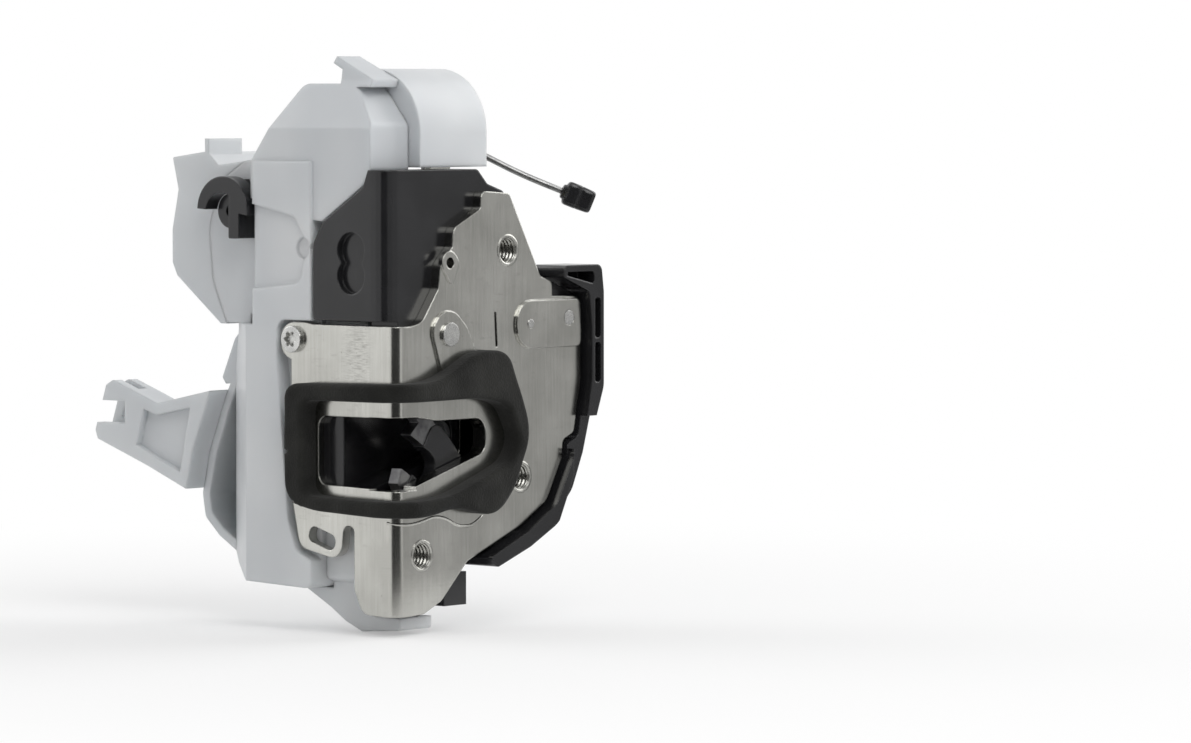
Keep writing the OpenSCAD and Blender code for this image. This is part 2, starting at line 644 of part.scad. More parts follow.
rod_a = clip_c + [0, 3];
rod_path = [
  [rod_a[0], lever_back_y + lever_t + 0.4, rod_a[1]],
  [rod_a[0], lever_back_y + lever_t + 6.6, rod_a[1]],
  [rod_a[0] + 0.5, lever_back_y + lever_t + 8, rod_a[1] - 0.2],
  [rod_a[0] + 2, lever_back_y + lever_t + 8.2, rod_a[1] - 0.9],
  [rod_a[0] + 4, lever_back_y + lever_t + 7, rod_a[1] - 2],
  [18, 26.5, 26],
  [26, 18, 20],
  [33, 11, 16],
];

module release_rod() color(steel) {
  wire(rod_path, rod_d / 2);
}

module rod_clip() color(black) {
  translate([36.6, 7.4, 13.8]) rotate([0, 28, -45]) cube([10, 6, 8], center=true);
}

// The actuator housing seen from the side
case_outline = [
  [30, 24.3, 0], [60, 24.3, 6], [68.5, 19, 6], [74, 6, 12], [72.5, -9, 12], [66.8, -21.5, 2], [77, -40.6, 10],
  [83.3, -56, 10], [86, -68, 5], [84.9, -74.5, 3], [79.5, -79.5, 3], [68.6, -86, 3], [56, -89.5, 4], [30, -90.5, 2],
];
case_inner = [
  [30 + wall, 21.8, 2], [59.4, 21.8, 4], [66.6, 17.2, 5], [71.4, 5.6, 10], [70, -8.3, 10], [64, -21.4, 2],
  [74.8, -41.8, 8], [80.9, -56.8, 8], [83.4, -68, 4], [82.6, -73.2, 2], [78, -77.5, 2], [67.6, -83.6, 2],
  [55.6, -87, 3], [30 + wall, -88, 2],
];

// The inboard side seen from above, stepped at the top and sloping below, g inside the outer face
module step_plan(g) {
  polygon([
    [case_in + g, 20], [case_in + g, step_y - g], [step_in + g, step_y - g], [step_in + g, 90], [0, 90], [0, 20],
  ]);
}

module slope_plan(g) {
  a = [case_in, slope_y] + g * slope_n;
  polygon([
    [case_in + g, 20], a + slope_u * g * (1 - slope_n[0]) / slope_u[0], a + slope_u * 28,
    [0, (a + slope_u * 28)[1]], [0, 20],
  ]);
}

module inboard_side(g) {
  translate([0, 0, slope_z - g]) linear_extrude(80) step_plan(g);
  translate([0, 0, -100]) linear_extrude(100 + slope_z + g) slope_plan(g);
}

// The housing's outer rim, standing proud of the side
module case_rim() {
  side(case_out - 0.5, 1.5) difference() {
    polygon(rounded(case_outline));
    polygon(rounded(case_inner));
    translate([0, -100]) square([57, 200]);
  }
}

module main_housing() color(white) difference() {
  union() {
    side(split_x, case_out - split_x) polygon(rounded(case_outline));
    case_rim();
    // The column that carries the latch
    front(back_y + back_t + 0.3, case_front - back_y - back_t - 0.3) polygon(rounded([
      [-40, -88, 2], [-14, -96, 3], [-4, -88, 3], [10, -74, 6], [13, -50, 4], [13, 3, 2], [-29, 3, 0], [-29, -18.6, 0],
      [-40, -18.6, 0],
    ]));
    // Foot below the column, with its screw's boss
    side(foot_x, foot_w) polygon(rounded([
      [5.7, -97.7, 0], [5.7, -101, 1], [19.5, -102, 2], [25.5, -99.5, 2.5], [31, -96, 2], [41, -90.7, 0], [30, -90.7, 0], [30, -84, 0],
      [15, -84, 0], [15, -97.7, 0],
    ]));
    // Ledge behind the motor
    side(split_x, 8) polygon(rounded([
      [66.3, -22.5, 0], [69.6, -20.9, 0.5], [73.5, -25, 1], [78.3, -35.7, 0.8], [77, -37.5, 0.5], [74, -37.2, 0],
    ]));
    // Ribs and a pad on the outboard side
    for (z = [-33, -44, -55.7, -61.6, -72.4, -78]) translate([case_out - 1, 29, z])
      cube([z < -60 ? 5 : 9, 24, 1.1]);
    side(case_out - 1, 6) polygon(rounded([[28, -30, 1.5], [36.8, -30, 1.5], [36.8, -46.5, 1.5], [28, -46.5, 1.5]]));
    bar_x([41.6, 0], case_out - 1, case_out + 4, 4.2);
    side(case_out - 1, 5) translate([36, -4.2]) square([5.6, 8.4]);
    bar_x([45.7, 21], split_x, case_out + 2, 7);
    // Two thin ribs spread from the boss
    for (s = [-1, 1]) translate([case_out - 1, 43, 0]) rotate([s * 52, 0, 0]) translate([0, -0.5, 2])
      cube([2.2, 1.1, 14]);
  }
  side(split_x - 1, inner_out - split_x + 1) polygon(rounded(case_inner));
  // Room for the levers, the striker channel and the screws
  translate([-20, back_y, -23]) cube([30, 30 - back_y, 40]);
  front(back_y, channel_d) polygon([
    [-50, mouth_top + 4.6], [-flange_x + mouth_len + 3.4, mouth_top + 3.4],
    [-flange_x + mouth_len + 3.4, mouth_low - 2.4], [-50, mouth_top - mouth_in_h - 4],
  ]);
  fix_bores(back_y, 26, fix_r + 1.2);
  bar_y(fork_c, back_y, back_y + back_t + 1.2, 4.5);
  bar_y(pawl_c, back_y, back_y + back_t + 1.2, 4.5);
  bar_x([45.7, 21], case_out, case_out + 3, 5.4);
  // Window in the column
  translate([5, 24, -67]) cube([10, 4, 7]);
}

module housing_cover() color(white) difference() {
  union() {
    difference() {
      union() {
        intersection() {
          side(case_in, split_x - case_in) polygon(rounded(case_outline));
          inboard_side(0);
        }
        // The upper part over the latch housing
        side(case_in + 1, split_x - case_in - 1) polygon(rounded([
          [9, 22.4, 0], [9, 34, 3], [18, 45, 8], [37, 45, 4], [53, 24, 0], [53, 14, 0], [30, 14, 0], [30, 8.5, 0],
          [26.6, 8.2, 0], [11.3, 18.2, 0],
        ]));
        // Thin slanting flap on the top
        side(case_in + 3, split_x - case_in - 3.1) polygon([
          [13, 44], [12.5, 46], [26.5, 52.3], [27.5, 50.5], [24, 48.8], [24, 44],
        ]);
      }
      intersection() {
        side(inner_in, split_x - inner_in + 1) polygon(rounded(case_inner));
        inboard_side(wall);
      }
    }
    // Thicker wall behind the steel flange
    translate([inner_in - 1, case_front + 1, -84]) cube([wall + plate_t - 0.3, flange_depth + 7 - case_front, 68]);
    // Cradle of the motor
    for (z = [4, motor_len - 6]) translate([inner_in + 3, worm_c[0] - 6, motor_top - z - 3]) cube([7, 4, 3]);
    // Axle of the worm wheel
    bar_x(wheel_c, inner_in - 1, inner_out, 1.5);
  }
  translate([inner_mid, worm_c[0], motor_top - motor_len]) cylinder(r=motor_d / 2, h=motor_len);
  bar_x(hook_c, case_in - 1, inner_in + 12, 4 + run_gap);
  // The upper edge leans in
  front(5, 60) polygon([[case_in, 33], [case_in + 1, 33], [case_in + 6, 46], [case_in + 8, 60], [case_in, 60]]);
  // Recess that the steel flange lies in
  side(case_in - 1, plate_t + 2.3) polygon(rounded([
    [case_front - 1, -83.5, 0], [flange_depth - 2.5, -80.5, 4], [flange_depth + 0.5, -72, 3],
    [flange_depth + 4.5, -28, 3], [flange_depth + 4.5, -18.4, 3], [case_front - 1, -18.4, 0],
  ]));
  bar_x([flange_depth - 1, -23.6], case_in, -flange_x + 13, 1.9);
  // Shallow pan with a round dimple at its front
  side(case_in - 1, 2) polygon(rounded([
    [60, 13, 0], [51, 12.5, 1], [36, 9.5, 3], [31, 2, 5], [34, -8.5, 3], [50, -10.2, 1], [60, -10.6, 0],
  ]));
  bar_x([33, 1], case_in - 1, case_in + 1.7, 3);
}

module key_housing() color(white) difference() {
  union() {
    bar_x(key_c, split_x + 0.2, key_out, key_cap_r);
    side(split_x + 0.2, key_out - split_x - 0.2) polygon(rounded([
      [5, 22.6, 0], [5, 32, 0], [22, 49, 6], [37, 43, 3], [51, 24.4, 0], [51, 22.6, 0],
    ]));
  }
  bar_x(key_c, key_out - 16, key_out + 1, key_r);
  translate([-50, 0, 0]) cube([60, 60, 22.6]);
  // Clear of the actuator housing and of the boss of its screw
  translate([-50, case_front - 0.3, 0]) cube([50 + case_out + 0.3, 40, 24.6]);
  bar_x([45.7, 21], -50, case_out + 2.4, 7.4);
  translate([-17, 25, 0]) cube([30, 13.5, 45]);
}

module key_insert() color(yellow) difference() {
  bar_x(key_c, key_out - 15.8, key_out - 8.5, key_r - run_gap);
  translate([key_out - 13, key_c[0] - 1.2, key_c[1] - 5]) cube([14, 2.4, 10]);
}

hood_w = 20;
hood_wall = 1.8;
hood_outline = [
  [60, 24, 0], [70.5, 22.8, 0], [73.5, 25.5, 0.5], [75.6, 26.4, 0.5], [87.8, 24.8, 0.5], [85.6, 16, 2],
  [88, 5, 6], [88, -4, 2], [86.2, -7.6, 2], [69.6, -20.4, 1], [60, -20.4, 0],
];

module connector_hood() color(white) difference() {
  union() {
    side(step_in, hood_w) polygon(rounded(hood_outline));
    // Upright flap on the top
    translate([step_in, 74, 25]) cube([13, 1.5, 5]);
    // Rib on the outboard side
    translate([step_in + hood_w - 0.5, 70, 5]) cube([1.3, 12, 1]);
  }
  side(step_in + hood_wall, hood_w - 2 * hood_wall) polygon(rounded([
    [76, 18, 1], [92, 18, 0], [92, -4, 0], [84, -6, 0], [76, -12, 1],
  ]));
  side(step_in - 1, hood_w + 3) polygon(rounded(case_outline));
}

module connector_pins() color(brass) {
  for (i = [0:3]) for (k = [0:1]) translate([step_in + 4.5 + 3.4 * i, 76, 2 + 6 * k]) cube([0.8, 7, 0.8]);
}

arm_x = -37;
arm_w = 9;
clip_hole = 6.2;

module cable_bracket() color(white) difference() {
  side(arm_x, arm_w) polygon(rounded([
    [76.2, -39.1, 0], [96.7, -43.3, 3], [104.3, -40.6, 3], [113.9, -37.3, 1.5], [116.6, -38.8, 1],
    [120.9, -51.5, 1], [120, -53.9, 1], [101, -60.5, 4], [85.66, -66.5, 0], [83.3, -56, 0], [77, -40.6, 0],
  ]));
  // Hole for the clip in the outboard plate, slot in the inboard one, a gap between
  translate([0, 112.4, -46.2]) rotate([21, 0, 0]) translate([arm_x + arm_w / 2, -clip_hole / 2, -clip_hole / 2])
    cube([arm_w, clip_hole, clip_hole]);
  translate([arm_x - 1, 109.3, -46.2 - clip_hole / 2]) cube([4, 20, clip_hole]);
  side(arm_x + 3, 3) polygon([[106, -30], [130, -30], [130, -62], [109, -62]]);
  // Hollows on both sides of the web
  side(arm_x + arm_w - 1.5, 3) polygon([[85, -44], [97, -46.5], [102, -45], [105, -55], [99, -57.6], [88, -62]]);
  side(arm_x - 1, 3) polygon([[84, -44], [97, -46.5], [102, -45], [105, -55], [99, -57.6], [88, -62]]);
}

function hook_at(dy, dz, r) = [hook_c[0] + dy, hook_c[1] + dz, r];

module lock_hook() color(black) {
  difference() {
    union() {
      // Ring on the axle, and the axle itself
      bar_x(hook_c, step_in - 4, step_in - 0.3, 4.7);
      bar_x(hook_c, step_in - 1, step_in + wall + 4.4, 4);
      // Block beside the ring
      side(step_in - 7.3, 7) polygon(rounded([
        hook_at(-6.2, -7.4, 0.5), hook_at(-2.4, -7.4, 0.5), hook_at(-2.4, 2, 0), hook_at(-3.6, 8.6, 0),
        hook_at(-6.2, 3, 0),
      ]));
      // Hook curling over for the cable's end
      side(step_in - 7.3, 4.6) difference() {
        translate(hook_c) circle(r=9.4);
        translate(hook_c) translate([0.6, -0.6]) circle(r=5.7);
        translate(hook_c) polygon([[-3, 0], [-20, -3], [-20, -20], [20, -20], [20, 1.2], [0, 0]]);
      }
    }
    bar_x(hook_c, step_in - 5, step_in - 2, 1.6);
  }
}

// A toothed rim with round teeth, its crest on the angle given
function wavy(teeth, r, a, crest, n = 8) =
  [for (i = [0:teeth * n - 1]) let (t = i * 360 / (teeth * n)) (r + a * cos(teeth * (t - crest))) * [cos(t), sin(t)]];

module lock_sector() color(white) {
  mesh_a = wheel_lean - 90;
  side(step_in + wall + 0.5, 4) translate(hook_c) difference() {
    union() {
      intersection() {
        polygon(wavy(sector_teeth, sector_r - 0.25, 0.9, mesh_a + 180 / sector_teeth));
        polygon([[0, 0], polar([0, 0], 40, mesh_a - 12), polar([0, 0], 40, mesh_a + 46)]);
      }
      circle(r=6);
    }
    circle(r=4);
  }
}

module worm_wheel() color(white) {
  difference() {
    union() {
      side(inner_mid - 3, 6) translate(wheel_c) polygon(wavy(wheel_teeth, wheel_r, worm_e, 180 / wheel_teeth));
      side(step_in + wall + 0.3, inner_mid - step_in - wall - 3.2) translate(wheel_c)
        polygon(wavy(pinion_teeth, pinion_r - 0.25, 0.9, wheel_lean + 90));
    }
    bar_x(wheel_c, case_in, case_out, 1.5 + run_gap);
  }
}

module worm_shaft() color(brass) {
  translate([inner_mid, worm_c[0], worm_c[1] - worm_turns / 2 * worm_pitch]) {
    linear_extrude(worm_turns * worm_pitch, twist=-360 * worm_turns, slices=8 * worm_turns)
      translate([worm_e, 0]) circle(r=worm_core, $fn=13);
    translate([0, 0, -20]) cylinder(r=1, h=21);
  }
}

module motor() color(steel) difference() {
  union() {
    translate([inner_mid, worm_c[0], motor_top - motor_len]) cylinder(r=motor_d / 2, h=motor_len);
    translate([inner_mid, worm_c[0], motor_top - 1]) cylinder(r=4, h=3);
  }
  translate([inner_mid, worm_c[0], motor_top - 9]) cylinder(r=1 + run_gap, h=20);
}

module switch_open() color(black) {
  translate([inner_out - 8.4, 44, -82]) cube([6, 12, 6]);
}

module switch_lock() color(black) {
  translate([inner_out - 8.4, 66, -76]) cube([6, 6, 12]);
}

module contact_carrier() color(black) {
  side(inner_out - 2.4, 2.4) polygon([[42, -84], [64, -83], [76, -75], [76, -62], [62, -62], [60, -68], [42, -75]]);
}

module lever_buffer() color(dark_steel) {
  intersection() {
    bar_x([37.5, -24.5], case_out, case_out + 3, 4.5);
    translate([case_out - 1, 33, -27.5]) cube([10, 12, 10]);
  }
}

module flange_screw() color(steel) {
  bar_x([flange_depth - 1, -23.6], -flange_x - 1.6, -flange_x, 3.6);
  bar_x([flange_depth - 1, -23.6], -flange_x, -flange_x + 12, 1.9);
}

module cover_screws() color(steel) {
  for (p = [[45.7, 21], [78.6, -72.2]]) bar_x(p, case_out, case_out + 2, 3.4);
  bar_x([21.9, -96.3], foot_x + foot_w, foot_x + foot_w + 1.6, 3);
}

face_plate();
mouth_seal();
face_rivets();
latch_housing();
back_plate();
fork_pivot();
fork_bolt();
fork_cover();
fork_spring();
pawl_pivot();
pawl();
pawl_pin();
pawl_spring();
mouth_channel();
bump_stop();
outboard_cover();
bottom_plug();
lever_pivot();
release_lever();
lever_spring();
rod_holder();
release_rod();
rod_clip();
main_housing();
housing_cover();
key_housing();
key_insert();
connector_hood();
connector_pins();
cable_bracket();
lock_hook();
lock_sector();
worm_wheel();
worm_shaft();
motor();
switch_open();
switch_lock();
contact_carrier();
lever_buffer();
flange_screw();
cover_screws();
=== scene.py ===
import math

import bpy
import numpy as np
from mathutils import Matrix, Vector


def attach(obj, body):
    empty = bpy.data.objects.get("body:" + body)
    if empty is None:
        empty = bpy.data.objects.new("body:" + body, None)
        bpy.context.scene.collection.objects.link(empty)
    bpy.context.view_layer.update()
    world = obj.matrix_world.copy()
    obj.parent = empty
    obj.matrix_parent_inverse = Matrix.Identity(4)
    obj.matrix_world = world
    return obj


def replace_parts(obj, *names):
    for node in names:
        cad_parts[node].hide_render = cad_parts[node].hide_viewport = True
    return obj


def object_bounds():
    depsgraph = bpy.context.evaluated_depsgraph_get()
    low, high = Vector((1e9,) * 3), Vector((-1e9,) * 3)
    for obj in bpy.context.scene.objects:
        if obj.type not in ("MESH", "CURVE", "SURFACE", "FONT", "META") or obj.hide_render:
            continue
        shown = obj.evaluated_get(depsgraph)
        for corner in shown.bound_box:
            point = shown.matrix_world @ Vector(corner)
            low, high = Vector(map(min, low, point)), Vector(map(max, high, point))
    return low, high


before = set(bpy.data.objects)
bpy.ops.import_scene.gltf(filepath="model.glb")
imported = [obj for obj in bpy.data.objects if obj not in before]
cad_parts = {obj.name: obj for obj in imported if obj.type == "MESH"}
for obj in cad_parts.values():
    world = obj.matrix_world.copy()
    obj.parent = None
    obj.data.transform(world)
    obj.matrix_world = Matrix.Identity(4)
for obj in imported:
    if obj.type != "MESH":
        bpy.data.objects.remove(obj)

cad_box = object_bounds()

# The camera stands where the left half of the photograph was taken from: 47 degrees round to the inboard
# side and a little above level, at 1.6 m. It is turned, not shifted, to put the latch left in the frame.
camera = bpy.data.cameras.new("studio_camera")
camera_object = bpy.data.objects.new("studio_camera", camera)
bpy.context.scene.collection.objects.link(camera_object)
bpy.context.scene.camera = camera_object
turn, tilt, distance = math.radians(-47), math.radians(2.5), 1.6
forward = Vector((-math.sin(turn) * math.cos(tilt), math.cos(turn) * math.cos(tilt), -math.sin(tilt)))
right = Vector((math.cos(turn), math.sin(turn), 0))
up = right.cross(forward)
# Pixels of the 1191 x 743 frame: the top fixing hole, the middle of the left view, and the frame's middle
frame_wide, pixels_per_metre = 1191, 3700
hole_pixel, centre_pixel, frame_pixel = (508, 250), (340, 345), (595.5, 371.5)
offset_right = (hole_pixel[0] - centre_pixel[0]) / pixels_per_metre
offset_up = -(hole_pixel[1] - centre_pixel[1]) / pixels_per_metre
camera_object.location = -(offset_right * right + offset_up * up + distance * forward)
focal_pixels = pixels_per_metre * distance
aim = (focal_pixels * forward + (frame_pixel[0] - centre_pixel[0]) * right
       - (frame_pixel[1] - centre_pixel[1]) * up)
back = -aim.normalized()
side = Vector((0, 0, 1)).cross(back).normalized()
camera_object.rotation_euler = Matrix((side, back.cross(side), back)).transposed().to_euler()
camera.lens = focal_pixels * camera.sensor_width / frame_wide
camera.clip_start = 0.01

# The studio: an even pale surround that metal and gloss see as plain white, three soft lamps, a pale floor,
# and screens that only steel and gloss mirror: a dark one behind the camera, which is the black band in the
# steel's bend, and a white strip and a grey one to its right.
scene = bpy.context.scene
scene.view_settings.view_transform = "Standard"


def fill(node, **inputs):
    """Sets a node up: text goes to the property of that name, another node's output is linked to the input,
    and any other value fills it. i0, i1 and so on name an input by its place, and _ stands for a space."""
    for key, value in inputs.items():
        socket = int(key[1:]) if key[0] == "i" and key[1:].isdigit() else key.replace("_", " ")
        if isinstance(value, str):
            setattr(node, key, value)
        elif hasattr(value, "is_linked"):
            node.id_data.links.new(value, node.inputs[socket])
        else:
            node.inputs[socket].default_value = value


def node_maker(tree):
    """Returns the function that builds this tree."""
    def put(kind, out=0, **inputs):
        """Adds a node of that kind, fills it and returns one of its outputs."""
        node = tree.nodes.new("ShaderNode" + kind)
        fill(node, **inputs)
        return node.outputs[out]
    return put


def times(put, one, other):
    """The product of two factors."""
    return put("Math", operation="MULTIPLY", i0=one, i1=other)


def seen_directly(put):
    """1 for rays from the camera and from glossy surfaces, and 0 for all the others."""
    return put("Math", operation="MAXIMUM", i0=put("LightPath", out="Is Camera Ray"),
               i1=put("LightPath", out="Is Glossy Ray"))


surround = bpy.data.worlds.new("pale_surround")
scene.world = surround
surround.use_nodes = True
surround.node_tree.nodes.clear()
put_sky = node_maker(surround.node_tree)
lighting, seen = [put_sky("Background", Color=(1, 1, 1, 1), Strength=strength) for strength in (0.42, 1.0)]
sky_seen = put_sky("Math", operation="MAXIMUM", i0=seen_directly(put_sky),
                   i1=put_sky("LightPath", out="Is Transmission Ray"))
fill(surround.node_tree.nodes.new("ShaderNodeOutputWorld"),
     Surface=put_sky("MixShader", i0=sky_seen, i1=lighting, i2=seen))


def soft_lamp(name, spot, size, power):
    """A square lamp of that size in metres, aimed at the middle of the latch."""
    lamp = bpy.data.lights.new(name, "AREA")
    lamp.size, lamp.energy = size, power
    lamp_object = bpy.data.objects.new(name, lamp)
    scene.collection.objects.link(lamp_object)
    lamp_object.location = spot
    latch_middle = Vector((-0.02, 0.03, -0.03))
    lamp_object.rotation_euler = (latch_middle - Vector(spot)).to_track_quat("-Z", "Y").to_euler()


soft_lamp("key_lamp", (-0.35, -0.75, 0.75), 0.7, 5.6)
soft_lamp("fill_lamp", (0.85, -0.25, 0.45), 0.8, 4.8)
soft_lamp("back_lamp", (-0.3, 0.9, 0.6), 0.8, 3.0)


def stage_sheet(name, points, quads):
    """A studio sheet of those points and quads with a new material: returns the object and the material's
    tree."""
    mesh = bpy.data.meshes.new(name)
    mesh.from_pydata(points, [], quads)
    sheet = bpy.data.objects.new(name, mesh)
    scene.collection.objects.link(sheet)
    paint = bpy.data.materials.new(name)
    paint.use_nodes = True
    mesh.materials.append(paint)
    return sheet, paint.node_tree


floor_z = cad_box[0].z - 0.0005


def mirrored_screen(name, first, last, glow, high=1.5, near=0.13, away=1.35, steps=16):
    """An arc round the latch from the first to the last azimuth, in degrees, where -47 is the camera's own:
    at the azimuth a and the radius r it has the point r (sin a, -cos a). It lies on the floor from near to
    away and then stands up. Only mirroring surfaces see it, as an even glow."""
    azimuth = np.radians(np.linspace(first, last, steps + 1))
    arc = np.stack((np.sin(azimuth), -np.cos(azimuth), 0 * azimuth), -1)
    on_floor = (0, 0, floor_z + 0.001)
    points = np.vstack((near * arc + on_floor, away * arc + on_floor, away * arc + (0, 0, high)))
    corner = np.concatenate((np.arange(steps), np.arange(steps) + steps + 1))
    quads = np.stack((corner, corner + 1, corner + steps + 2, corner + steps + 1), -1)
    screen, screen_tree = stage_sheet(name, points.tolist(), quads.tolist())
    screen.visible_camera = screen.visible_diffuse = False
    screen.visible_shadow = screen.visible_transmission = False
    fill(screen_tree.nodes["Material Output"],
         Surface=node_maker(screen_tree)("Emission", Color=(glow, glow, glow, 1)))


mirrored_screen("dark_end", -76, -8, 0.045)
mirrored_screen("bright_strip", -8, 6, 0.9)
mirrored_screen("grey_side", 6, 88, 0.46)

floor_reach = 6
floor_corners = [(-floor_reach, -floor_reach, floor_z), (floor_reach, -floor_reach, floor_z),
                 (floor_reach, floor_reach, floor_z), (-floor_reach, floor_reach, floor_z)]
floor_tree = stage_sheet("pale_floor", floor_corners, [(0, 1, 2, 3)])[1]
floor_paint = floor_tree.nodes["Principled BSDF"]
fill(floor_paint, Roughness=0.9, Specular_IOR_Level=0, Base_Color=(0.92, 0.92, 0.92, 1))
# Seen by the camera or in metal, the floor turns into the white surround within half a metre of the latch
put_floor = node_maker(floor_tree)
floor_away = put_floor("VectorMath", out="Value", operation="LENGTH", i0=put_floor("TexCoord", out=3))
floor_fade = put_floor("MapRange", interpolation_type="SMOOTHSTEP", i0=floor_away, i1=0.10, i2=0.42, i3=0.35,
                       i4=1.0)
fill(floor_tree.nodes["Material Output"], Surface=put_floor(
    "MixShader", i0=times(put_floor, floor_fade, seen_directly(put_floor)), i1=floor_paint.outputs[0],
    i2=put_floor("Emission")))


# Zinc-plated pressed steel of the face plate, the back plate and the release lever: rolled and then plated,
# so it is satin with a warm grey cast, fine rolling lines up the sheet, rubbed patches and a few dark pits.
def plain_nodes(name):
    """A new material with an emptied tree: returns the material, its shader and the maker of its nodes."""
    material = bpy.data.materials.new(name)
    material.use_nodes = True
    tree = material.node_tree
    tree.nodes.clear()
    shader = tree.nodes.new("ShaderNodeBsdfPrincipled")
    fill(tree.nodes.new("ShaderNodeOutputMaterial"), Surface=shader.outputs[0])
    return material, shader, node_maker(tree)


def stretched(put, scale):
    """Object coordinates times a scale for each axis."""
    return put("Mapping", Vector=put("TexCoord", out=3), Scale=scale)


def from_middle(put, place, y, z, wide=1, tall=1):
    """How far out a point is in the side view, 1 on the oval about (y, z): the length of ((its y - y) / half
    width, (its z - z) / half height). Without an oval it is the distance in metres."""
    return put("VectorMath", out="Value", operation="LENGTH", i0=put(
        "Mapping", Vector=place, Location=(0, -y / wide, -z / tall), Scale=(0, 1 / wide, 1 / tall)))


def grain(put, where, scale, detail=2.0, roughness=0.5):
    """Value noise between 0 and 1 with that many features to a metre."""
    return put("TexNoise", Vector=where, Scale=scale, Detail=detail, Roughness=roughness)


def plus(put, one, other):
    """The sum of two factors."""
    return put("Math", operation="ADD", i0=one, i1=other)


def span(put, factor, first, last, low, high):
    """A straight line from low, where the factor is first, to high, where it is last, and level beyond."""
    return put("MapRange", i0=factor, i1=first, i2=last, i3=low, i4=high)


def laid_over(put, share, under, top):
    """The top colour over the other one, by that share."""
    return put("MixRGB", i0=share, i1=under, i2=top)


def tint(put, factor, dark, light, low=0.35, high=0.65):
    """A two-colour ramp between dark and light, from low to high of the factor."""
    return laid_over(put, span(put, factor, low, high, 0.0, 1.0), (*dark, 1), (*light, 1))


def softened_edge(put, radius, bump=None, strength=0.1, depth=0.0001):
    """Edges rounded by that radius in metres, with a bump over them."""
    normal = put("Bevel", Radius=radius)
    if bump is None:
        return normal
    return put("Bump", Strength=strength, Distance=depth, Height=bump, Normal=normal)


def zinc_plated_sheet():
    """Cloudy noise and upright rolling lines, mixed 3 to 1, drive the colour and the roughness; over the
    colour lie the hatches of the rubbed flange, duller patches and dark pits. Noise drawn out level is the
    relief."""
    material, shader, put = plain_nodes("zinc_plated_sheet")
    place = put("TexCoord", out=3)
    rolling = grain(put, stretched(put, (1500, 1500, 60)), 1, 2)
    mixed = plus(put, times(put, grain(put, place, 55, 3), 0.75), times(put, rolling, 0.25))
    sheet = tint(put, mixed, (0.46, 0.456, 0.425), (0.60, 0.596, 0.56))
    # Where a carton has rubbed the side flange: short dark hatches in an oval about (y 14, z -27) mm
    rub_reach = span(put, from_middle(put, place, 0.014, -0.027, 0.006, 0.011), 0.4, 1.15, 0.5, 0.0)
    hatches = span(put, grain(put, stretched(put, (1, 330, 3000)), 1, 3, 0.7), 0.42, 0.62, 0.0, 1.0)
    sheet = laid_over(put, times(put, rub_reach, hatches), sheet, (0.20, 0.197, 0.185, 1))
    patches = span(put, grain(put, stretched(put, (160, 160, 700)), 1, 4, 0.6), 0.60, 0.72, 0.0, 1.0)
    sheet = laid_over(put, times(put, patches, 0.4), sheet, (0.40, 0.395, 0.37, 1))
    clear_of_pits = span(put, grain(put, place, 900, 2), 0.22, 0.27, 0.45, 1.0)
    sheet = laid_over(put, clear_of_pits, (0.24, 0.235, 0.22, 1), sheet)
    relief = grain(put, stretched(put, (60, 60, 1900)), 1, 2)
    fill(shader, Base_Color=sheet, Metallic=1, Roughness=span(put, mixed, 0, 1, 0.14, 0.27),
         Normal=softened_edge(put, 0.0005, relief, 0.08, 0.00004))
    return material


def dress(material, *names):
    """Gives a CAD node's every slot that material."""
    for name in names:
        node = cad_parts[name]
        if not node.material_slots:
            node.data.materials.append(material)
        for slot in node.material_slots:
            slot.material = material


zinc_steel = zinc_plated_sheet()
dress(zinc_steel, "face_plate", "back_plate", "release_lever")


# The threads of the three fixing holes: an M8 thread cut in the collars, with the rolled rim that the tap
# leaves on the face. Each is a sleeve in its hole, a ridge winding down its inside.
def shell_of(name, shells, looped, material, body="latch", sharp=math.radians(35)):
    """Each shell is rings of points, one row of its array each, joined into a closed surface. Looped rows
    run round on themselves; otherwise the first and last ring are closed over their middle points. Each
    shell is turned so that its faces point outwards: the sum of corner . (edge x edge) over its triangles is
    positive."""
    all_points, all_faces, start = [], [], 0
    for rings in shells:
        rings = np.asarray(rings, float)
        rows, around = rings.shape[:2]
        index = np.arange(rows * around).reshape(rows, around)
        here, there = (index, np.roll(index, -1, 0)) if looped else (index[:-1], index[1:])
        quads = np.stack((here, np.roll(here, -1, 1), np.roll(there, -1, 1), there), -1).reshape(-1, 4)
        points = rings.reshape(-1, 3)
        fans = np.zeros((0, 3), int)
        if not looped:
            points = np.vstack((points, rings[0].mean(0), rings[-1].mean(0)))
            middle = rows * around
            fans = np.vstack((
                np.stack((np.full(around, middle), np.roll(index[0], -1), index[0]), -1),
                np.stack((np.full(around, middle + 1), index[-1], np.roll(index[-1], -1)), -1)))
        corner = (points - points.mean(0))[np.vstack((quads[:, :3], quads[:, [0, 2, 3]], fans))]
        if (corner[:, 0] * np.cross(corner[:, 1], corner[:, 2])).sum() < 0:
            quads, fans = quads[:, ::-1], fans[:, ::-1]
        all_points += points.tolist()
        all_faces += (quads + start).tolist() + (fans + start).tolist()
        start += len(points)
    mesh = bpy.data.meshes.new(name)
    mesh.from_pydata(all_points, [], all_faces)
    mesh.polygons.foreach_set("use_smooth", np.ones(len(mesh.polygons), bool))
    mesh.set_sharp_from_angle(angle=sharp)
    mesh.materials.append(material)
    piece = bpy.data.objects.new(name, mesh)
    scene.collection.objects.link(piece)
    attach(piece, body)
    return piece


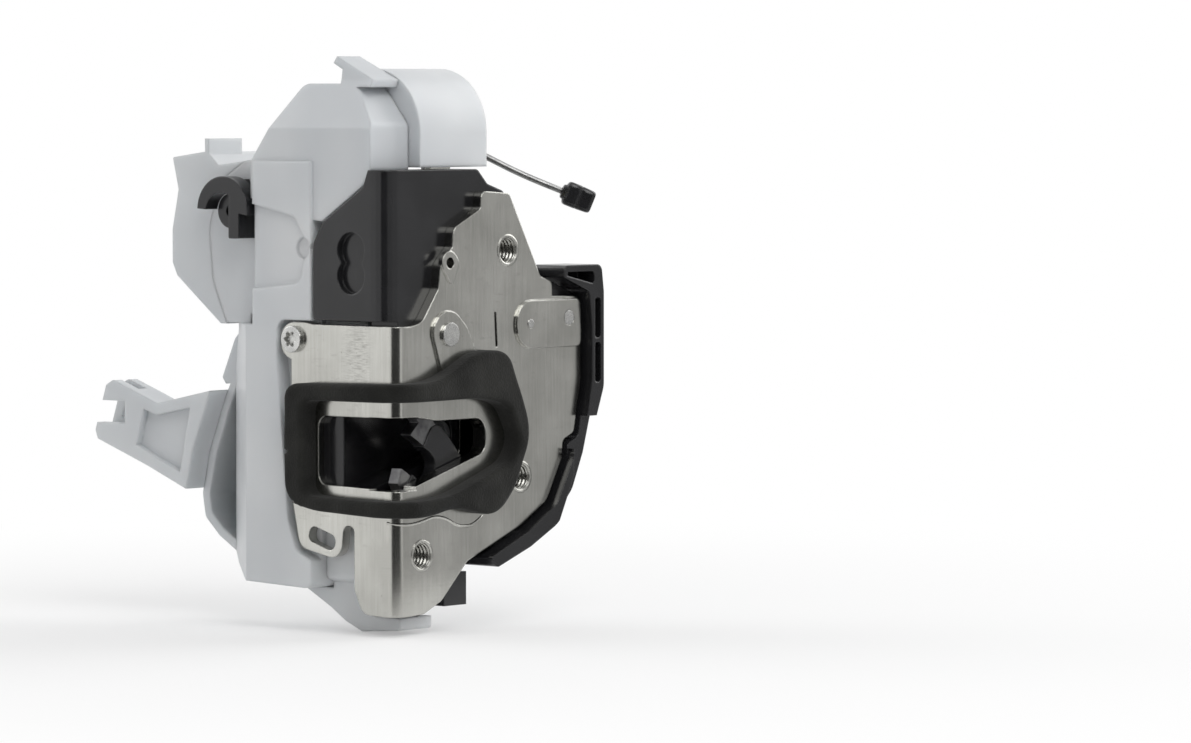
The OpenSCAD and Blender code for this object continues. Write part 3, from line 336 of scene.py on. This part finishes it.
def threaded_sleeve(name, x, z, root=0.00338, crest=0.00296, pitch=0.00125, deep=0.0072):
    """Round the hole's axis the inner radius falls from root to crest and back once a pitch, one pitch
    further in for each turn, fading in over the first turn; the outer wall is the hole itself, the rim a low
    torus."""
    around, inner_rings, rim_rings = 64, 96, 7
    hole_radius, rim_radius, rim_half_wide, rim_high, inside_rim = 0.00339, 0.00395, 0.0005, 0.00016, 0.00345
    turn_by = np.linspace(0, 2 * np.pi, around, endpoint=False)
    inward = np.linspace(0.0004, deep, inner_rings)[:, None]
    phase = (inward / pitch - turn_by / (2 * np.pi)) % 1.0
    ridge = np.clip(1.25 - 2.5 * np.abs(phase - 0.5), 0, 1) * np.clip(inward / 0.0012, 0, 1)
    inner = np.stack((root - (root - crest) * ridge, np.broadcast_to(inward, ridge.shape)), -1)
    sweep = np.linspace(0.5 * np.pi, -0.5 * np.pi, rim_rings)
    rim = np.stack((rim_radius + rim_half_wide * np.sin(sweep), 0.00002 - rim_high * np.cos(sweep)), -1)
    plain = np.vstack(([(hole_radius, deep), (hole_radius, 0.0002)], rim, [(inside_rim, -0.00002)]))
    outline = np.concatenate((np.broadcast_to(plain[:, None], (len(plain), around, 2)), inner))
    radius, depth = outline[..., 0], outline[..., 1]
    rings = np.stack((x + radius * np.cos(turn_by), depth, z + radius * np.sin(turn_by)), -1)
    return shell_of(name, [rings], True, zinc_steel)


for hole_name, hole_x, hole_z in (("thread_top", 0, 0), ("thread_lower", -0.0347, -0.0807),
                                  ("thread_right", 0.0052, -0.0616)):
    threaded_sleeve(hole_name, hole_x, hole_z)


# Bright steel of the rivet heads, the pivots and the screws, turned or cold-headed, so it is smoother and a
# little brighter than the sheet. The fork and the pawl are oiled, the pins and the worm are brass.
def turned_steel(name, dark, light, rough):
    """Cloudy noise takes the colour from dark to light; fine noise takes the roughness from 0.6 to 1.5 times
    rough and is the relief."""
    material, shader, put = plain_nodes(name)
    place = put("TexCoord", out=3)
    fine = grain(put, place, 2600, 2)
    fill(shader, Base_Color=tint(put, grain(put, place, 260, 3), dark, light), Metallic=1,
         Roughness=span(put, fine, 0, 1, rough * 0.6, rough * 1.5),
         Normal=softened_edge(put, 0.0003, fine, 0.15, 0.00004))
    return material


bright_steel = turned_steel("turned_steel", (0.50, 0.50, 0.49), (0.68, 0.68, 0.66), 0.26)
dress(bright_steel, "face_rivets", "fork_pivot", "pawl_pivot", "pawl_pin", "lever_pivot")
oiled_steel = turned_steel("oiled_spring_steel", (0.10, 0.10, 0.105), (0.22, 0.22, 0.22), 0.38)
dress(oiled_steel, "fork_bolt", "pawl")
dress(turned_steel("drawn_can", (0.40, 0.40, 0.39), (0.52, 0.52, 0.50), 0.35), "motor")
dress(turned_steel("plain_brass", (0.52, 0.36, 0.14), (0.68, 0.50, 0.22), 0.3), "connector_pins",
      "worm_shaft")


# The screws: plated screws with a low domed head and a six-lobed star recess, one through the side flange and
# three through the white covers. Head and shank are one cold-headed piece.
def star_screw(centre, axis, head_radius, head_high, shank_radius, shank_long):
    """Rings round the axis, in millimetres, from the shank's point over the edge of the head, a quarter
    circle, and down into the recess. The recess's radius is r (1 + 0.17 cos 6a) at the angle a."""
    around = 96
    angle = np.linspace(0, 2 * np.pi, around, endpoint=False)
    edge = 0.22 * head_high
    bend = np.linspace(0, 0.5 * np.pi, 6)
    profile = np.vstack((
        [(0.3 * shank_radius, -shank_long), (0.9 * shank_radius, -shank_long + 0.6),
         (shank_radius, -shank_long + 1.2), (shank_radius, 0), (head_radius, 0)],
        np.stack((head_radius - edge * (1 - np.cos(bend)), head_high - edge * (1 - np.sin(bend))), -1),
        [(0.72 * head_radius, 1.07 * head_high)]))
    recess = np.array([(0.56, 1.09), (0.53, 1.02), (0.50, 0.12), (0.20, 0.0)]) * (head_radius, head_high)
    lobes = 1 + 0.17 * np.cos(6 * angle)
    out = np.vstack((profile[:, :1] * np.ones(around), recess[:, :1] * lobes))
    along = np.concatenate((profile[:, 1], recess[:, 1]))[:, None] * np.ones(around)
    axis = np.asarray(axis, float)
    first = np.cross(axis, (0.0, 0.0, 1.0))
    second = np.cross(axis, first)
    rings = ((out * np.cos(angle))[..., None] * first + (out * np.sin(angle))[..., None] * second
             + along[..., None] * axis)
    return (np.asarray(centre) + rings) * 0.001


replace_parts(shell_of("side_screw", [star_screw((-45.0, 37, -23.6), (-1, 0, 0), 3.6, 1.5, 1.9, 12)], False,
                     bright_steel), "flange_screw")
cover_heads = [star_screw((-14.0, 45.7, 21), (1, 0, 0), 3.4, 1.8, 1.5, 0.1),
               star_screw((-14.0, 78.6, -72.2), (1, 0, 0), 3.4, 1.8, 1.5, 0.1),
               star_screw((-24.8, 21.9, -96.3), (1, 0, 0), 3.0, 1.4, 1.3, 0.1)]
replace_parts(shell_of("star_screws", cover_heads, False, bright_steel), "cover_screws")


# The release rod and the three torsion springs: drawn round wire, bright for the rod and oiled for the
# springs, bent and wound cold.
def drawn_wire(path, radius, around=16):
    """A circle of that radius carried along the path. Across the tangent t stand u = t x (0.02, 1, 0.03),
    made one long, and t x u; the ends are domed with rings of radius r cos b, set out by r sin b / 2."""
    path = np.asarray(path, float)
    tangent = np.gradient(path, axis=0)
    tangent /= np.linalg.norm(tangent, axis=1, keepdims=True)
    first = np.cross(tangent, (0.02, 1, 0.03))
    first /= np.linalg.norm(first, axis=1, keepdims=True)
    second = np.cross(tangent, first)
    turn_by = np.linspace(0, 2 * np.pi, around, endpoint=False)
    circle = np.cos(turn_by)[:, None] * first[:, None] + np.sin(turn_by)[:, None] * second[:, None]
    dome = np.linspace(0, 0.45 * np.pi, 4)[1:, None, None]
    head = path[0] - 0.5 * radius * np.sin(dome) * tangent[0] + radius * np.cos(dome) * circle[0]
    tail = path[-1] + 0.5 * radius * np.sin(dome) * tangent[-1] + radius * np.cos(dome) * circle[-1]
    return np.concatenate((head[::-1], path[:, None] + radius * circle, tail)) * 0.001


def rounded_path(points, rounds):
    """Cuts each corner of an open path at a quarter and three quarters of its sides, that many times."""
    points = np.asarray(points, float)
    for _ in range(rounds):
        near, far = 0.75 * points[:-1] + 0.25 * points[1:], 0.25 * points[:-1] + 0.75 * points[1:]
        points = np.vstack((points[:1], np.stack((near, far), 1).reshape(-1, 3)[1:-1], points[-1:]))
    return points


def wound_spring(centre_x, centre_z, back, radius, wire, turns, start, first_leg, last_leg):
    """A helix about Y: (x, z) = centre + r (cos a, sin a), y rises by the wire and 0.1 mm a turn, with a
    straight leg along the tangent at each end."""
    turn_steps, rise = 40, wire + 0.1
    step = np.arange(turns * turn_steps + 1)
    angle = math.radians(start) + step * 2 * np.pi / turn_steps
    coil = np.stack((centre_x + radius * np.cos(angle), back + wire / 2 + step * rise / turn_steps,
                     centre_z + radius * np.sin(angle)), -1)
    leave = np.linspace(1, 0.04, 10)[:, None]
    enter = coil[0] + first_leg * leave * (math.sin(angle[0]), 0, -math.cos(angle[0]))
    depart = coil[-1] + last_leg * leave[::-1] * (-math.sin(angle[-1]), 0, math.cos(angle[-1]))
    return drawn_wire(np.vstack((enter, coil, depart)), wire / 2)


rod_wire = turned_steel("drawn_rod", (0.26, 0.26, 0.26), (0.36, 0.36, 0.355), 0.34)
bent_rod = rounded_path([(4, 28.7, 34), (4, 34.6, 34), (4.4, 36.2, 33.8), (6, 36.6, 33.1), (8, 35.3, 32),
                         (18, 26.5, 26), (26, 18, 20), (34.6, 9.4, 15.1)], 3)
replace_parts(shell_of("bent_rod", [drawn_wire(bent_rod, 0.9)], False, rod_wire, "rod"),
            "release_rod")
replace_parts(shell_of("wound_lever_spring", [wound_spring(-4, -12.5, 28.7, 3.7, 1.3, 3, 30, 9, 9)], False,
                     oiled_steel), "lever_spring")
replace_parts(shell_of("wound_fork_spring", [wound_spring(-15, -65, 9.25, 5, 1, 2, 150, 9, 8)], False,
                     oiled_steel), "fork_spring")
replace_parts(shell_of("wound_pawl_spring", [wound_spring(-24.5, -22, 9.25, 4.5, 1, 2, 60, 7, 8)], False,
                     oiled_steel), "pawl_spring")


# Milky plastic of the housings, the connector hood and the cable bracket: natural moulded acetal, white with
# a cold cast, a little see-through where it is thin, satin, with faint sinks over its ribs.
def milky_plastic(name, works_shade=0.0):
    """Cloudy noise between two whites, with faint sinks as relief. By the share given second, a painted shade
    darkens the outboard wall over the gear and the motor, standing in for the dark works seen through the
    milky plastic: inside two ovals in the side view, made ragged by noise."""
    material, shader, put = plain_nodes(name)
    place = put("TexCoord", out=3)
    sinks = grain(put, place, 130, 2)
    white = tint(put, grain(put, place, 22, 2), (0.56, 0.58, 0.60), (0.66, 0.675, 0.685))
    if works_shade:
        # Each oval: the middle's y and z, the half width and the half height, in metres
        ragged = times(put, grain(put, place, 60, 1), 0.5)
        gear = plus(put, ragged, from_middle(put, place, 0.0535, 0.001, 0.0135, 0.0185))
        motor = plus(put, ragged, from_middle(put, place, 0.0545, -0.033, 0.0140, 0.0105))
        near = span(put, put("Math", operation="MINIMUM", i0=gear, i1=motor), 0.80, 1.45, works_shade, 0.0)
        outboard = span(put, put("SeparateXYZ", Vector=place), -0.030, -0.024, 0.0, 1.0)
        # Painted shade: a dark blue-grey laid over the white inside the ovals, on the outboard wall only,
        # standing in for the gear and the motor seen through the milky plastic
        white = laid_over(put, times(put, near, outboard), white, (0.30, 0.335, 0.36, 1))
    relief = plus(put, sinks, times(put, grain(put, place, 1800, 2), 0.05))
    fill(shader, Base_Color=white, Roughness=span(put, sinks, 0, 1, 0.30, 0.50), IOR=1.48,
         Normal=softened_edge(put, 0.0011, relief, 0.10, 0.0003),
         Subsurface_Weight=0.35, Subsurface_Radius=(0.9, 1.0, 1.0), Subsurface_Scale=0.004)
    return material


# The main housing's case carries the painted shade of the works inside it
dress(milky_plastic("milky_case", 0.75), "main_housing")
dress(milky_plastic("milky_plastic"), "housing_cover", "key_housing", "connector_hood", "cable_bracket",
      "lock_sector", "worm_wheel")


# Black plastic of the latch housing, its covers and the hook lever: glass-filled and moulded in a polished
# tool, so it is glossy with a very fine ripple. The lever's buffer and the fork's stop are matt rubber.
def black_moulding(name, colour, low, high):
    """Cloudy noise takes the colour to 1.5 times itself and the roughness from low to high; very fine noise
    is the relief."""
    material, shader, put = plain_nodes(name)
    place = put("TexCoord", out=3)
    cloud = grain(put, place, 70, 2)
    lighter = tuple(1.5 * part for part in colour)
    fill(shader, Base_Color=tint(put, cloud, colour, lighter), Roughness=span(put, cloud, 0, 1, low, high),
         IOR=1.5, Normal=softened_edge(put, 0.0006, grain(put, place, 2200, 2), 0.06, 0.00005))
    return material


glossy_black = black_moulding("black_moulding", (0.010, 0.010, 0.011), 0.12, 0.26)
dress(glossy_black, "latch_housing", "outboard_cover", "mouth_channel", "bottom_plug", "lock_hook",
      "switch_open", "switch_lock", "contact_carrier", "fork_cover")
dress(black_moulding("moulded_rubber", (0.085, 0.087, 0.09), 0.6, 0.75), "lever_buffer", "bump_stop")


# The clip on the rod's end: a small hinged block of black plastic that is snapped over the rod, with all its
# edges rounded and a narrower end where the rod goes in.
def snap_block(centre, axis, rows, exponent=0.42, around=64):
    """Rounded oblongs carried along the axis: at the angle a a point stands out by the half width times
    sign(cos a) |cos a|^e and by the half height times sign(sin a) |sin a|^e; a row is (along, width,
    height)."""
    axis = np.asarray(axis, float) / np.linalg.norm(axis)
    wide = np.cross(axis, (0, 0, 1))
    wide /= np.linalg.norm(wide)
    high = np.cross(wide, axis)
    angle = np.linspace(0, 2 * np.pi, around, endpoint=False)
    corner = np.stack((np.cos(angle), np.sin(angle)), -1)
    corner = np.sign(corner) * np.abs(corner) ** exponent
    along, half_wide, half_high = np.asarray(rows, float).T[..., None]
    rings = (along[..., None] * axis + (half_wide * corner[:, 0])[..., None] * wide
             + (half_high * corner[:, 1])[..., None] * high)
    return (np.asarray(centre) + rings) * 0.001


block_edge = math.radians(50)
clip_rows = [(-4.6, 1.3, 1.4), (-4.4, 1.7, 1.9), (-3.8, 1.9, 2.1), (-3.5, 2.2, 2.9), (-3.2, 2.6, 3.2),
             (-2.6, 2.75, 3.35), (0.2, 2.75, 3.35), (0.45, 2.6, 3.2), (0.7, 2.75, 3.3), (3.6, 2.7, 3.15),
             (4.2, 2.55, 3.0), (4.5, 2.2, 2.7), (4.6, 1.7, 2.2)]
clip_shell = snap_block((36.9, 7.1, 13.8), (7, -7, -4), clip_rows)
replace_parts(shell_of("snap_clip", [clip_shell], False, glossy_black, "rod", block_edge),
            "rod_clip")


# The rod's holder: a block of the same black plastic with a wider middle, snapped into the lever's end by an
# axle with a head; the rod turns in it.
holder_rows = [(28.35, 3.2, 5.6), (28.6, 3.6, 6.1), (29.8, 3.6, 6.1), (30.0, 3.85, 8.6), (30.2, 4.0, 9.0),
               (32.1, 4.0, 9.0), (32.4, 3.8, 8.7), (32.5, 3.4, 6.6), (33.5, 3.3, 6.5), (33.8, 2.9, 6.0)]
axle_rows = [(24.3, 2.4, 2.4), (24.5, 2.9, 2.9), (24.8, 3.0, 3.0), (26.1, 3.0, 3.0), (26.25, 1.9, 1.9),
             (29.2, 1.9, 1.9)]
holder_shells = [snap_block((4, 0, 30), (0, 1, 0), holder_rows, 0.33),
                 snap_block((4, 0, 31), (0, 1, 0), axle_rows, 1.0)]
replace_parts(shell_of("snapped_holder", holder_shells, False, glossy_black, "lever",
                     block_edge), "rod_holder")


# Yellow insert of the key socket: clear yellow plastic with a slot for the lock cylinder's tongue, seen down
# a white bore. It is moulded with an ivory collar and turns in the key housing.
def yellow_plastic():
    """Cloudy noise between two yellows up to 4 mm from the insert's axis, ivory beyond 4.8 mm, glossy."""
    material, shader, put = plain_nodes("yellow_plastic")
    place = put("TexCoord", out=3)
    cloud = grain(put, place, 180, 2)
    insert_y, insert_z, yellow_to, ivory_from = 0.022, 0.032, 0.0040, 0.0048
    ivory = span(put, from_middle(put, place, insert_y, insert_z), yellow_to, ivory_from, 0.0, 1.0)
    yellow = tint(put, cloud, (0.48, 0.40, 0.05), (0.62, 0.55, 0.16))
    fill(shader, Base_Color=laid_over(put, ivory, yellow, (0.66, 0.64, 0.47, 1)),
         Roughness=span(put, cloud, 0, 1, 0.22, 0.4), Normal=softened_edge(put, 0.0004),
         Subsurface_Weight=0.4, Subsurface_Radius=(1.0, 0.9, 0.3), Subsurface_Scale=0.003)
    return material


dress(yellow_plastic(), "key_insert")


# Foam ring that seals the striker's mouth against the door: dense closed-cell foam, dead matt and nearly
# black, cut flat as one ring and stuck to the steel, over the face and round onto the side flange.
def cell_foam():
    """Cloudy noise between two blacks; round cells and the clouds together are the relief."""
    material, shader, put = plain_nodes("cell_foam")
    place = put("TexCoord", out=3)
    cloud = grain(put, place, 90, 3)
    relief = plus(put, put("TexVoronoi", Vector=place, Scale=1900.0), cloud)
    fill(shader, Base_Color=tint(put, cloud, (0.012, 0.012, 0.011), (0.022, 0.022, 0.020)), Roughness=0.92,
         Normal=put("Bump", Strength=0.45, Distance=0.0003, Height=relief), Specular_IOR_Level=0.15,
         Sheen_Weight=0.08)
    return material


seal_foam = cell_foam()
# Corners of the ring as it is cut flat, in millimetres: along the steel from the start of the bend (inboard
# is minus), upwards, and how far the corner's rounding reaches
outer_corners = [(-38.3, -35.2, 5), (8, -34.3, 6), (24.6, -26.4, 4.5), (35.6, -26.8, 4.5), (45.4, -48.5, 7),
                 (37.4, -66.2, 6), (29.5, -71.2, 4), (15, -67.8, 6), (3, -70.4, 6), (-30, -69.0, 6),
                 (-38.3, -66.4, 6), (-38.3, -54.1, 0.2), (-37.3, -53.5, 0.2), (-38.3, -52.9, 0.2)]
inner_corners = [(-31.3, -39.6, 3.5), (8, -39.4, 6), (25, -39.2, 5), (35.2, -41.2, 4), (40.6, -51, 4.3),
                 (36.4, -56.8, 2.6), (28, -60, 3), (14, -64.8, 4), (3, -65.8, 4), (-24, -65.4, 2),
                 (-31.3, -64.9, 3.5), (-31.3, -54.1, 0.2), (-31.3, -53.5, 0.2), (-31.3, -52.9, 0.2)]


def rounded_loop(corners):
    """A corner becomes the curve (1-t)^2 a + 2t(1-t) c + t^2 b between the points a and b where its rounding
    starts and ends, and the straight to the next corner is divided evenly."""
    corners = np.asarray(corners, float)
    spot, reach = corners[:, :2], corners[:, 2:]
    back_way, on_way = np.roll(spot, 1, 0) - spot, np.roll(spot, -1, 0) - spot
    enter = spot + back_way / np.linalg.norm(back_way, axis=1, keepdims=True) * reach
    leave = spot + on_way / np.linalg.norm(on_way, axis=1, keepdims=True) * reach
    t = np.linspace(0, 1, 10)[:, None, None]
    curve = (1 - t) ** 2 * enter + 2 * t * (1 - t) * spot + t ** 2 * leave
    t = np.linspace(0, 1, 14)[1:-1, None, None]
    straight = (1 - t) * leave + t * np.roll(enter, -1, 0)
    return np.concatenate((curve, straight)).transpose(1, 0, 2).reshape(-1, 2)


def to_nearest_edge(points, loop):
    """The distance from each point to the nearest side of the closed loop."""
    side = np.roll(loop, -1, 0) - loop
    from_corner = points[..., None, :] - loop
    share = np.clip((from_corner * side).sum(-1) / np.maximum((side ** 2).sum(-1), 1e-12), 0, 1)
    return np.linalg.norm(from_corner - share[..., None] * side, axis=-1).min(-1)


def laid_over_bend(along, high, up, flange_x=45.0, bend=4.0):
    """A flat point is laid on the steel: on the face x = along - 41, y = -high; in the bend it turns by
    along / 4 round the bend's middle, at 4 + high from it; past the quarter turn it runs back along the
    flange."""
    quarter = 0.5 * math.pi * bend
    turn_by = np.clip(-along / bend, 0, 0.5 * math.pi)
    past = np.clip(-along - quarter, 0, None)
    x = np.clip(along, 0, None) + bend - flange_x - (bend + high) * np.sin(turn_by)
    y = bend - (bend + high) * np.cos(turn_by) + past
    return np.stack((x, y, up), -1) * 0.001


def foam_ring(outer, inner, tall=5.7, edge=1.4):
    """Between the loops the ring stands `tall` high, waving by 0.12 mm, with its edges rounded: at the
    distance d from an edge the height is tall - e + sqrt(e^2 - (e - min(d, e))^2)."""
    outer, inner = rounded_loop(outer), rounded_loop(inner)
    rows_across = 17
    share = (0.5 - 0.5 * np.cos(np.pi * np.linspace(0, 1, rows_across)))[:, None, None]
    flat = inner + (outer - inner) * share
    near = np.minimum(to_nearest_edge(flat, outer), to_nearest_edge(flat, inner))
    near = np.minimum(near, edge)
    wave = 0.12 * np.sin(0.55 * flat[..., 0]) * np.sin(0.4 * flat[..., 1])
    high = tall + wave - edge + np.sqrt(edge ** 2 - (edge - near) ** 2)
    low = np.full((1, len(outer)), 0.03)
    high = np.vstack((low, 0.35 * high[:1], 0.7 * high[:1], high, 0.7 * high[-1:], 0.35 * high[-1:], low))
    flat = np.concatenate((flat[:1], flat[:1], flat[:1], flat, flat[-1:], flat[-1:], flat[-1:]))
    return laid_over_bend(flat[..., 0], high, flat[..., 1])


seal = shell_of("foam_seal", [foam_ring(outer_corners, inner_corners)], True, seal_foam, "latch",
                math.radians(70))
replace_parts(seal, "mouth_seal")


# Two small forms that belong to the face: the wavy bead that is pressed into the steel under the seal,
# and the black lip that closes the channel behind the side flange, so that no white shows through the mouth.
bead_flat = rounded_path([(-5.5, -71.6, 0), (0.5, -72.3, 0), (5.5, -71.8, 0), (11.2, -70.4, 0),
                          (16.2, -71.3, 0), (20.3, -73.6, 0), (26.1, -73.9, 0), (30.4, -71.4, 0)], 3)
bead_sunk, bead_radius = 0.25, 0.5
bead_line = laid_over_bend(bead_flat[:, 0], np.full(len(bead_flat), -bead_sunk), bead_flat[:, 1]) * 1000
shell_of("pressed_bead", [drawn_wire(bead_line, bead_radius, 12)], False, zinc_steel)
lip_rows = [(-42.9, 4.14, 13.2), (-42.8, 4.6, 13.2), (-42.3, 4.6, 13.2), (-42.2, 4.14, 13.2)]
shell_of("channel_lip", [snap_block((0, 25.4, -53.2), (1, 0, 0), lip_rows, 0.3, 48)], False, glossy_black)
